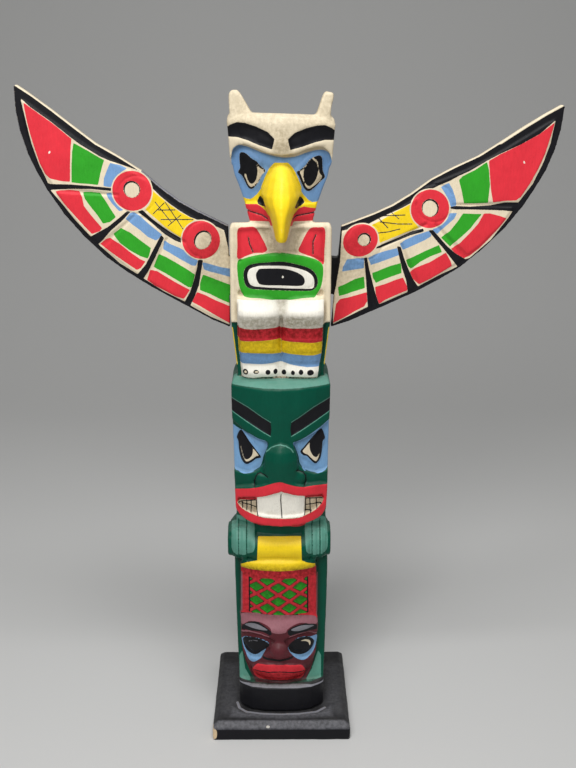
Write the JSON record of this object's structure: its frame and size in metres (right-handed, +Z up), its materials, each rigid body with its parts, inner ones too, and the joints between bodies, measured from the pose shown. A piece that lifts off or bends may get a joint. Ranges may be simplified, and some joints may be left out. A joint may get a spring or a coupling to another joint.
{
  "type": "model totem pole",
  "caption": "Carved and painted wooden totem pole with a horned bird, a beaver and a small face, spread wings, on a square base.",
  "frame": {"origin": "middle of the base's underside, which is the surface the totem pole stands on", "axes": "+Z up along the pole, the carved front faces -Y, the wings spread along X"},
  "size_m": [0.4029, 0.1163, 0.5123],
  "materials": {
    "painted_carving": "hand painted, semi-gloss, worn",
    "painted_wing": "hand painted, semi-gloss, worn",
    "black_base": "black paint, satin, dusty"
  },
  "bodies": {
    "root": {"pole": "painted_carving", "left_wing": "painted_wing", "right_wing": "painted_wing", "base": "black_base"}
  },
  "joints": []
}
